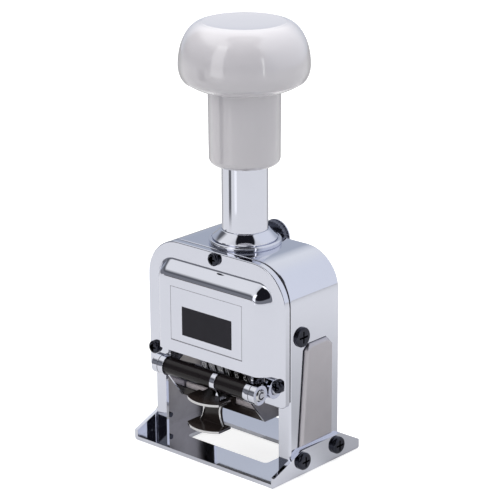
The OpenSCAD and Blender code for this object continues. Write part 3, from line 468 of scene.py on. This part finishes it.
def pressed_cover(name, node, side, plane, grow, bulge_top, turned):
    """A cover with a raised panel; side is -1 at the front and 1 at the back."""
    half, edge_r = HALF_W + grow, 0.4
    quarter = math.pi / 2

    def build(shape):
        def vert(x, d, z):
            return vert_mm(shape, x, side * d, z)

        def edge_rows(points):
            """The outline, and behind it the turned edge where the cover has one."""
            if not turned:
                return [[vert(p[0], plane, p[1]) for p, n in points]]
            rows = []
            for t in [quarter * i / 6 for i in range(7)]:
                drop = edge_r * (1 - math.cos(t))
                back = edge_r * (1 - math.sin(t))
                rows.append([vert(p[0] - n[0] * back, plane - drop, p[1] - n[1] * back)
                             for p, n in points])
            rows.append([vert(p[0], HALF_D + 0.25, p[1]) for p, n in points])
            return rows

        foot = arch_line(0, CUTOUT_Z, half=BULGE_X, top=bulge_top, radius=BULGE_R)
        rows = []
        for t in [k / 30 for k in range(31)]:
            inset = BULGE_RUN * (1 - t)
            rows.append([vert(p[0] - n[0] * inset, plane + crest(t), p[1] - n[1] * inset) for p, n in foot])
        plateau = rows[0]
        rows += edge_rows(arch_line(grow, CUTOUT_Z))
        ring_faces(shape, rows)
        shape.faces.new(plateau)
        ear_x, ear_side = half - EAR_R, CUTOUT_Z - EAR_Z - EAR_R
        for s in (-1, 1):
            path = [((s * half, CUTOUT_Z - ear_side * i / 4), (s, 0)) for i in range(5)]
            path += [((s * (ear_x + EAR_R * math.cos(t)), EAR_Z + EAR_R - EAR_R * math.sin(t)),
                      (s * math.cos(t), -math.sin(t))) for t in [quarter * i / 8 for i in range(1, 9)]]
            path += [((s * (ear_x - (ear_x - CUTOUT_X) * i / 4), EAR_Z), (0, -1)) for i in range(1, 5)]
            ear = edge_rows(path)
            ring_faces(shape, ear)
            inner = [vert(s * CUTOUT_X, plane, CUTOUT_Z), vert(s * BULGE_X, plane, CUTOUT_Z)]
            shape.faces.new(ear[0] + inner)
        bmesh.ops.remove_doubles(shape, verts=shape.verts, dist=1e-6)
        turn_out(shape, largest_face, 1, side)
    piece = mesh_object(name, build)
    thicken(piece, COVER_T, 0.16)
    return settle(piece, [node], CHROME)


def cover_toes(name, node, side, plane):
    """What closes the raised panel's lower corners, over the ears."""
    def build(shape):
        for s in (-1, 1):
            line = [(BULGE_X - 0.1, plane - 0.2)]
            for t in [1 - k / 30 for k in range(31)]:
                x = BULGE_X - BULGE_RUN * (1 - t)
                if CUTOUT_X - 0.05 <= x < BULGE_X - 0.1:
                    line.append((x, plane + crest(t) - 0.06))
            line.append((line[-1][0], plane - 0.2))
            rows = [[vert_mm(shape, s * x, side * d, z) for x, d in line]
                    for z in (CUTOUT_Z + 0.04, CUTOUT_Z + 0.9)]
            ring_faces(shape, rows, closed_u=True)
            shape.faces.new(rows[0])
            shape.faces.new(rows[1])
        bmesh.ops.remove_doubles(shape, verts=shape.verts, dist=1e-6)
        bmesh.ops.recalc_face_normals(shape, faces=shape.faces)
    piece = mesh_object(name, build)
    smooth(piece, 30)
    settle(piece, [node], CHROME, replace=False)


cover_toes("front_cover_toes", "front_cover", -1, COVER_Y)
cover_toes("back_cover_toes", "back_cover", 1, BACK_Y)


def cover_seam():
    """A black strip of painted shade laid along the line where the front cover's turned edge meets the housing; it
    is wider at the corners, where it also paints a dark reflection.
    """
    def build(shape):
        rows = [[], [], []]
        for p, n in arch_line(0, EAR_Z + EAR_R):
            # corner is largest at the arch's corners, where the painted shade strip widens.
            corner = (2 * n[0] * n[1]) ** 2
            for row, deep, y in zip(rows, (0.3, 0.12 - 0.1 * corner, 0.12 - 0.13 * corner),
                                    (-0.6, 0.1, 0.42 + 0.7 * corner)):
                row.append(vert_mm(shape, p[0] - n[0] * deep, -HALF_D + y, p[1] - n[1] * deep))
        ring_faces(shape, rows)
        turn_out(shape, highest_face, 2)
    settle(mesh_object("cover_seam", build), ["front_cover"], PRINT_BLACK_AND_PAINTED_SHADE, replace=False)


cover_seam()
pressed_cover("front_cover_sheet", "front_cover", -1, COVER_Y, 0, FRONT_BULGE_TOP, True)
pressed_cover("back_cover_sheet", "back_cover", 1, BACK_Y, -BACK_INSET, BACK_BULGE_TOP, False)


def housing_sheet():
    """The arch with its lips turned in, bright outside and dull on its inner faces."""
    bend = 0.9

    def build(shape):
        outline = arch_line(0, 1.5, straight=14)
        section = [(LIP_W, HALF_D)]
        section += [(bend - bend * math.sin(t), HALF_D - bend + bend * math.cos(t))
                    for t in [math.pi / 2 * i / 6 for i in range(7)]]
        section = [(inset, -d) for inset, d in section] + [(inset, d) for inset, d in reversed(section)]
        ring_faces(shape, [[vert_mm(shape, p[0] - n[0] * inset, d, p[1] - n[1] * inset)
                            for p, n in outline] for inset, d in section])
        turn_out(shape, highest_face, 2)
    piece = mesh_object("housing_sheet", build)
    thicken(piece, HOUSING_T, 0.15)
    settle(piece, ["housing"], CHROME)
    piece.data.materials.append(INSIDE)
    for face in piece.data.polygons:
        p, n = face.center / MM, face.normal
        if abs(p.y) < HALF_D - 1.0 and (p.x * n.x < 0 and abs(n.x) > 0.3 or n.z < -0.3):
            face.material_index = 1


housing_sheet()


def panel_loop(shape, x, inset, front=0.0):
    """A side panel's outline, set in from its foot, and further ahead along its front edge by front."""
    loop = []
    for i, corner in enumerate(PANEL_CORNERS):
        p, a, b = Vector(corner), Vector(PANEL_CORNERS[i - 1]), Vector(PANEL_CORNERS[(i + 1) % len(PANEL_CORNERS)])
        e1, e2 = (p - a).normalized(), (b - p).normalized()
        n1, n2 = Vector((-e1.y, e1.x)), Vector((-e2.y, e2.x))
        q = p + (n1 + n2) / (1 + n1.dot(n2)) * inset
        ahead = front if corner[0] < -5 else 0
        loop.append(vert_mm(shape, x, q.x - ahead, q.y))
    return loop


def side_panel(name, s):
    """The pressed panel on one side wall, with a rolled edge and a dark strip of painted shade laid round its foot.
    """
    def build(shape):
        loops = [panel_loop(shape, s * (HALF_W + PANEL_RISE * math.sin(t)), PANEL_ROLL * (1 - math.cos(t)))
                 for t in [math.pi / 2 * k / 8 for k in range(9)]]
        ring_faces(shape, loops, closed_u=True)
        shape.faces.new(loops[-1])
        shape.faces.new(list(reversed(loops[0])))
        bmesh.ops.recalc_face_normals(shape, faces=shape.faces)
    piece = mesh_object(name, build)
    smooth(piece, 40)
    settle(piece, ["housing"], PANEL, replace=False)

    # A thin strip of painted shade round the panel's foot, wider along its front edge, in the black screw finish.
    def crease(shape):
        x = s * (HALF_W + 0.012)
        ring_faces(shape, [panel_loop(shape, x, 0.05), panel_loop(shape, x, -0.2, 0.55)], closed_u=True)
        turn_out(shape, first_face, 0, s)
    settle(mesh_object(name + "_crease", crease), ["housing"], BLACK_STEEL_AND_PAINTED_SHADE, replace=False)


side_panel("right_side_panel", 1)
side_panel("left_side_panel", -1)


def lip_tab(name, s):
    """The wider place on a back lip that takes the back cover's screw."""
    centre = (s * (HALF_W - 4.8), HALF_D - 0.62, 36.0)
    size = (6.8, 1.16, 9.0)
    piece = soft_block(name, [v * MM for v in centre], [v * MM for v in size], 0.3, 2)
    settle(piece, ["housing"], CHROME, replace=False)


lip_tab("right_lip_tab", 1)
lip_tab("left_lip_tab", -1)


# Flat label field on the front cover: an engraved frame round a plain black block.

def label_plate(name, rectangles, lift, material):
    """A thin face, or a frame between two rectangles of left, right, low and high, over the panel."""
    def build(shape):
        y = -(COVER_Y + BULGE_RISE) - lift
        loops = [[vert_mm(shape, x, y, z) for x, z in ((x0, z0), (x1, z0), (x1, z1), (x0, z1))]
                 for x0, x1, z0, z1 in rectangles]
        if len(loops) == 1:
            shape.faces.new(loops[0])
        ring_faces(shape, loops, closed_u=True)
        turn_out(shape, first_face, 1, -1)
    settle(mesh_object(name, build), ["front_cover"], material, replace=False)


def label_field():
    left, right, low, high = -17.8, 16.8, 43.2, 64.0
    line, sill = 0.17, 0.42
    label_plate("engraved_frame", ((left, right, low, high),
                                   (left + line, right - line, low + sill, high - line)), 0.012, ENGRAVED)
    label_plate("black_block", ((-12.2, 11.9, 46.2, 57.2),), 0.014, PRINT_BLACK_AND_PAINTED_SHADE)


label_field()


# Type: ten figures round each wheel, cut mirrored so that they print the right way round.

def figures_tree():
    """A wheel's ten figures, each filled, raised, mirrored, lifted to the rim and turned to its place."""
    tree = bpy.data.node_groups.new("figures round a wheel", "GeometryNodeTree")
    face = tree.interface
    face.new_socket("Geometry", in_out="INPUT", socket_type="NodeSocketGeometry")
    for label, value in (("Figure Height", 4.3 * MM), ("Relief", 0.5 * MM), ("Wheel Radius", WHEEL_R * MM),
                         ("Middle", 0.0), ("Axis Height", WHEEL_Z * MM)):
        face.new_socket(label, in_out="INPUT", socket_type="NodeSocketFloat").default_value = value
    face.new_socket("Finish", in_out="INPUT", socket_type="NodeSocketMaterial")
    face.new_socket("Geometry", in_out="OUTPUT", socket_type="NodeSocketGeometry")
    enter = tree.nodes.new("NodeGroupInput").outputs
    leave = tree.nodes.new("NodeGroupOutput")
    join = tree.nodes.new("GeometryNodeJoinGeometry")
    narrow_mirror = (-0.9, 1, 1)

    def step(kind, *inputs, **settings):
        return add_node(tree, kind, inputs, **settings).outputs[0]

    def moved(geometry, *offset):
        return step("GeometryNodeTransform", ("Geometry", geometry),
                    ("Translation", step("ShaderNodeCombineXYZ", *offset)))

    reach = math_node(tree, "SUBTRACT", enter["Wheel Radius"], enter["Relief"])
    for figure in range(10):
        letters = step("GeometryNodeStringToCurves", ("String", str(figure)), ("Size", enter["Figure Height"]),
                       align_x="CENTER", align_y="MIDDLE")
        outline = step("GeometryNodeRealizeInstances", (0, letters))
        filled = step("GeometryNodeFillCurve", ("Curve", outline), mode="NGONS")
        raised = step("GeometryNodeExtrudeMesh", ("Mesh", filled), ("Offset Scale", enter["Relief"]),
                      ("Individual", False), mode="FACES")
        mirrored = step("GeometryNodeTransform", ("Geometry", raised), ("Scale", narrow_mirror))
        turned = step("GeometryNodeTransform", ("Geometry", moved(mirrored, ("Z", reach))),
                      ("Rotation", (math.radians(FIELD_TURN * figure), 0, 0)))
        tree.links.new(turned, join.inputs[0])
    ring = moved(join.outputs[0], ("X", enter["Middle"]), ("Z", enter["Axis Height"]))
    real = step("GeometryNodeRealizeInstances", (0, ring))
    painted = step("GeometryNodeSetMaterial", ("Geometry", real), ("Material", enter["Finish"]))
    tree.links.new(painted, leave.inputs[0])
    return tree


FIGURES = figures_tree()


def set_input(modifier, label, value):
    for item in modifier.node_group.interface.items_tree:
        if item.item_type == "SOCKET" and item.in_out == "INPUT" and item.name == label:
            modifier[item.identifier] = value


def wheel_type(number):
    """One wheel's figures, turned so that each wheel shows another one."""
    middle = FIRST_DRUM_X + (number - 1) * PITCH + DRUM_W / 2
    piece = mesh_object("figures_%d" % number, lambda shape: None)
    ring = piece.modifiers.new("figures", "NODES")
    ring.node_group = FIGURES
    set_input(ring, "Middle", middle * MM)
    set_input(ring, "Finish", TYPE)
    bake(piece)
    shape = bmesh.new()
    shape.from_mesh(piece.data)
    turn = Matrix.Rotation(math.radians(FIELD_TURN * (number * 3 % 10)), 4, "X")
    axis = Vector((0, 0, WHEEL_Z * MM))
    for v in shape.verts:
        v.co = turn @ (v.co - axis) + axis
    bmesh.ops.recalc_face_normals(shape, faces=shape.faces)
    shape.to_mesh(piece.data)
    shape.free()
    settle(piece, ["wheel_%d" % number], TYPE, replace=False)


for number in WHEELS:
    wheel_type(number)
    dressed("wheel_%d" % number, edge=0.08)


# Ink pad and its grip

def felt_block():
    """Inked felt with soft edges."""
    low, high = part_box("ink_pad")
    centre = [(a + b) / 2 for a, b in zip(low, high)]
    size = [b - a for a, b in zip(low, high)]
    piece = soft_block("felt_block", centre, size, 0.5, 4)
    settle(piece, ["ink_pad"], FELT)


felt_block()


def finger_grip():
    """The blackened grip with its cut edges left bright, and a rib up each side of its web."""
    grip = dressed("finger_grip", BLACKENED)
    grip.data.materials.append(NICKEL)
    for face in grip.data.polygons:
        if abs(face.normal.z) < 0.5 and face.center.y < -18.7 * MM:
            face.material_index = 1
    rib_y, rib_low, rib_long, rib_w, rib_d = -18.6, 14.5, 9.6, 0.42, 0.5
    waist, flare = 8.6, 12

    def rib_build(shape):
        for s in (-1, 1):
            rows = []
            for t in [i / 24 for i in range(25)]:
                x = s * (waist / 2 + (flare - waist) / 2 * (2 * t - 1) ** 2 - 0.45)
                rows.append([vert_mm(shape, x + rib_w * math.cos(a), rib_y - rib_d * math.sin(a),
                                     rib_low + rib_long * t) for a in [math.pi * k / 8 for k in range(9)]])
            ring_faces(shape, rows)
            shape.faces.new(rows[0])
            shape.faces.new(rows[-1])
        bmesh.ops.recalc_face_normals(shape, faces=shape.faces)
    ribs = mesh_object("grip_ribs", rib_build)
    smooth(ribs, 50)
    settle(ribs, ["finger_grip"], NICKEL, replace=False)


finger_grip()


def clip_marks():
    """The C-shaped clips pressed into the ends of the pivot shaft."""
    low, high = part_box("pivot_shaft")
    y, z = (low[1] + high[1]) / 2, (low[2] + high[2]) / 2
    inner_r, outer_r, lift = 0.95, 1.5, 0.015

    def build(shape):
        for end in (low[0], high[0]):
            x = end + math.copysign(lift * MM, end)
            rows = [[shape.verts.new((x, y + r * MM * math.cos(math.radians(a)),
                                      z + r * MM * math.sin(math.radians(a)))) for a in range(35, 326, 10)]
                    for r in (inner_r, outer_r)]
            ring_faces(shape, rows)
        bmesh.ops.recalc_face_normals(shape, faces=shape.faces)
        for face in shape.faces:
            if face.normal.x * face.calc_center_median().x < 0:
                face.normal_flip()
    settle(mesh_object("pivot_clips", build), ["pivot_shaft"], PRINT_BLACK_AND_PAINTED_SHADE, replace=False)


clip_marks()

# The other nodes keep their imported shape. The table gives a finish and an edge where they differ.

DRESSED_ABOVE = {"knob_cap", "sleeve", "collar", "front_cover", "back_cover", "housing", "ink_pad", "finger_grip"}
DRESSED_ABOVE.update("wheel_%d" % number for number in WHEELS)
FINE_CHROME = {"material": CHROME, "edge": 0.08}
OWN_DRESS = {"main_spring": {"edge": 0, "flat": 0}, "stop_drum": {"material": KNURLED, "edge": 0.08},
             "pad_tray": {"material": BLACKENED}, "yoke": {"material": BLACK_STEEL_AND_PAINTED_SHADE},
             "grip_clip": FINE_CHROME, "pad_arm_left": FINE_CHROME, "pad_arm_right": FINE_CHROME}

for node in cad:
    if node not in DRESSED_ABOVE:
        dressed(node, **OWN_DRESS.get(node, {"edge": 0.1}))


# Studio

def studio_floor():
    """Pale paper that keeps the shadow and glows white to the camera.

    It has three sectors that only glossy rays see, darker than the rest.
    """
    paper_tone, dim_tone = (0.54, 0.54, 0.54), (0.02, 0.02, 0.025)
    glow_to_camera, share_to_glossy = 0.75, 0.36
    floor = mesh_object("studio_floor", lambda shape: bmesh.ops.create_circle(
        shape, cap_ends=True, segments=96, radius=1.6))
    material = bpy.data.materials.new("studio floor paper")
    material.use_nodes = True
    tree = material.node_tree
    tree.nodes.clear()
    path = tree.nodes.new("ShaderNodeLightPath").outputs
    where = tree.nodes.new("ShaderNodeTexCoord").outputs["Object"]
    away = add_node(tree, "ShaderNodeVectorMath", ((0, where),), operation="LENGTH").outputs["Value"]
    bearing = add_node(tree, "ShaderNodeVectorMath", ((0, where),), operation="NORMALIZE").outputs["Vector"]

    def product(a, b):
        return math_node(tree, "MULTIPLY", a, b)

    def larger(a, b):
        return math_node(tree, "MAXIMUM", a, b)

    def rest_of(share):
        return math_node(tree, "SUBTRACT", 1.0, share)

    def sector(angle, inner, outer, near, far, depth):
        """A part of the table at an angle in degrees, beyond a distance in metres."""
        angle, inner, outer = (math.radians(a) for a in (angle, inner, outer))
        wide = fade(tree, along(tree, bearing, (math.cos(angle), math.sin(angle), 0)),
                    math.cos(outer), math.cos(inner))
        return product(product(wide, fade(tree, away, near, far)), depth)

    ahead, behind = sector(-126, 5, 10, 0.27, 0.31, 0.85), sector(132, 28, 52, 0.2, 0.3, 0.5)
    beside = product(sector(48, 20, 50, 0, 0.001, 0.36), rest_of(fade(tree, away, 0.06, 0.21)))
    dim = product(larger(larger(ahead, behind), beside), path["Is Glossy Ray"])
    paper = add_node(tree, "ShaderNodeBsdfDiffuse", (("Color", mixed(tree, dim, paper_tone, dim_tone)),))
    to_glossy = product(product(rest_of(dim), share_to_glossy), path["Is Glossy Ray"])
    glow = add_node(tree, "ShaderNodeEmission", (
        ("Strength", product(larger(path["Is Camera Ray"], to_glossy), glow_to_camera)),))
    both = add_node(tree, "ShaderNodeAddShader", ((0, paper.outputs[0]), (1, glow.outputs[0])))
    add_node(tree, "ShaderNodeOutputMaterial", ((0, both.outputs[0]),))
    floor.data.materials.append(material)


def studio_world():
    """White to the camera, an even light to matt surfaces, and a room of bands to glossy ones."""
    light_strength = 0.58
    pale, dark = (0.88, 0.91, 0.99), (0.012, 0.012, 0.016)
    world = bpy.data.worlds.new("studio")
    scene.world = world
    world.use_nodes = True
    tree = world.node_tree
    tree.nodes.clear()
    path = tree.nodes.new("ShaderNodeLightPath").outputs
    way = tree.nodes.new("ShaderNodeTexCoord").outputs["Generated"]
    up = add_node(tree, "ShaderNodeSeparateXYZ", ((0, way),)).outputs["Z"]
    height = math_node(tree, "MULTIPLY", math_node(tree, "ADD", up, 1.0), 0.5)

    def bands(*stops):
        """Tones of the room by height: -1 straight down, 1 straight up."""
        ramp = add_node(tree, "ShaderNodeValToRGB", ((0, height),))
        for element, (place, colour) in zip(ramp.color_ramp.elements, (stops[0], stops[-1])):
            element.position, element.color = (place + 1) / 2, (*colour, 1)
        for place, colour in stops[1:-1]:
            ramp.color_ramp.elements.new((place + 1) / 2).color = (*colour, 1)
        return ramp.outputs[0]

    def patch(direction, low, high):
        """How far a direction lies inside a round patch of the room."""
        return fade(tree, along(tree, way, Vector(direction).normalized()), low, high)

    def background(colour, strength=1.0):
        return add_node(tree, "ShaderNodeBackground", (("Color", colour), ("Strength", strength))).outputs[0]

    def by_ray(share, a, b):
        return add_node(tree, "ShaderNodeMixShader", ((0, share), (1, a), (2, b))).outputs[0]

    back_half = bands((-1, (0.9, 0.9, 0.92)), (0, (0.475, 0.515, 0.60)), (0.34, (0.485, 0.525, 0.61)),
                      (0.62, (0.95, 0.97, 1.0)), (0.84, (0.9, 0.92, 0.96)), (1, (0.7, 0.71, 0.74)))
    front_half = bands((-1, (0.9, 0.9, 0.92)), (-0.06, (0.5, 0.5, 0.53)), (0.03, (0.20, 0.205, 0.225)),
                       (0.28, (0.24, 0.245, 0.27)), (0.40, (0.13, 0.135, 0.15)), (0.52, (0.15, 0.155, 0.17)),
                       (0.66, (1.0, 1.0, 1.0)), (0.84, (1.0, 1.0, 1.0)), (1, (0.7, 0.71, 0.74)))
    room = mixed(tree, patch((-0.15, -1, 0), -0.12, 0.12), back_half, front_half)
    room = mixed(tree, patch((0.66, 0.72, 0.25), 0.55, 0.88), room, pale)
    high_front = math_node(tree, "MULTIPLY", patch((0.52, -0.64, 0.57), 0.86, 0.90), fade(tree, up, 0.27, 0.38))
    room = mixed(tree, high_front, room, dark)
    room = mixed(tree, patch((0.21, -0.23, 0.95), 0.90, 0.93), room, dark)
    light = bands((-1, (0.5, 0.5, 0.54)), (0, (0.50, 0.51, 0.57)), (0.5, (0.86, 0.86, 0.91)), (1, (1.0, 1.0, 1.0)))
    glossy = math_node(tree, "MAXIMUM", path["Is Glossy Ray"], path["Is Transmission Ray"])
    on_part = by_ray(glossy, background(light, light_strength), background(room))
    shown = by_ray(path["Is Camera Ray"], on_part, background((1, 1, 1, 1)))
    add_node(tree, "ShaderNodeOutputWorld", ((0, shown),))


# Name, place, width and height in metres, power in watts, colour. The strips show in glossy surfaces alone.
LAMPS = (("key_softbox", (-0.55, -0.75, 0.85), 0.7, 0.7, 3.2, (1, 0.99, 0.97)),
         ("fill_softbox", (0.95, -0.15, 0.55), 0.6, 0.6, 0.9, (0.97, 0.98, 1)),
         ("top_softbox", (0.05, 0.15, 1.25), 0.9, 0.9, 11, (1, 1, 1)),
         ("tall_strip", (-0.022, -0.279, 0.255), 0.11, 0.33, 0.13, (1, 1, 1)),
         ("low_strip", (-0.022, -0.279, 0.032), 0.06, 0.05, 0.003, (1, 1, 1)),
         ("narrow_strip", (0.288, -0.084, 0.18), 0.022, 0.16, 0.018, (1, 1, 1)))


def studio_lamps():
    """Softboxes aim at the part's middle, strips straight across at its axis."""
    middle_height = 0.08
    for name, place, wide, tall, power, colour in LAMPS:
        data = bpy.data.lights.new(name, "AREA")
        data.shape = "RECTANGLE"
        data.size = wide
        data.size_y = tall
        data.energy = power
        data.color = colour
        lamp = bpy.data.objects.new(name, data)
        scene.collection.objects.link(lamp)
        strip = name.endswith("strip")
        lamp.visible_camera = False
        lamp.visible_glossy = strip
        lamp.visible_diffuse = not strip
        lamp.location = place
        aim = Vector((0, 0, place[2] if strip else middle_height)) - Vector(place)
        lamp.rotation_euler = aim.to_track_quat("-Z", "Y").to_euler()


studio_floor()
studio_world()
studio_lamps()


def camera():
    """The main view: a long lens at the part's front right, with a slight roll."""
    az, el, roll = (math.radians(a) for a in (41.621, 18.325, -0.257))
    distance, shift_right, target_height = 776, 1.713, 76.016
    sensor, focal_pixels, frame_pixels = 36, 2148, 500
    back = Vector((math.sin(az) * math.cos(el), -math.cos(az) * math.cos(el), math.sin(el)))
    right = Vector((math.cos(az), math.sin(az), 0))
    up = back.cross(right)
    across = right * math.cos(roll) + up * math.sin(roll)
    above = -right * math.sin(roll) + up * math.cos(roll)
    target = Vector((math.cos(az) * shift_right, math.sin(az) * shift_right, target_height)) * MM
    data = bpy.data.cameras.new("view")
    data.sensor_width = sensor
    data.lens = focal_pixels / frame_pixels * sensor
    data.clip_start = 0.05
    eye = bpy.data.objects.new("view", data)
    scene.collection.objects.link(eye)
    turn = Matrix((across, above, back)).transposed().to_4x4()
    eye.matrix_world = Matrix.Translation(target + back * distance * MM) @ turn
    scene.camera = eye


camera()
scene.view_settings.view_transform = "Standard"
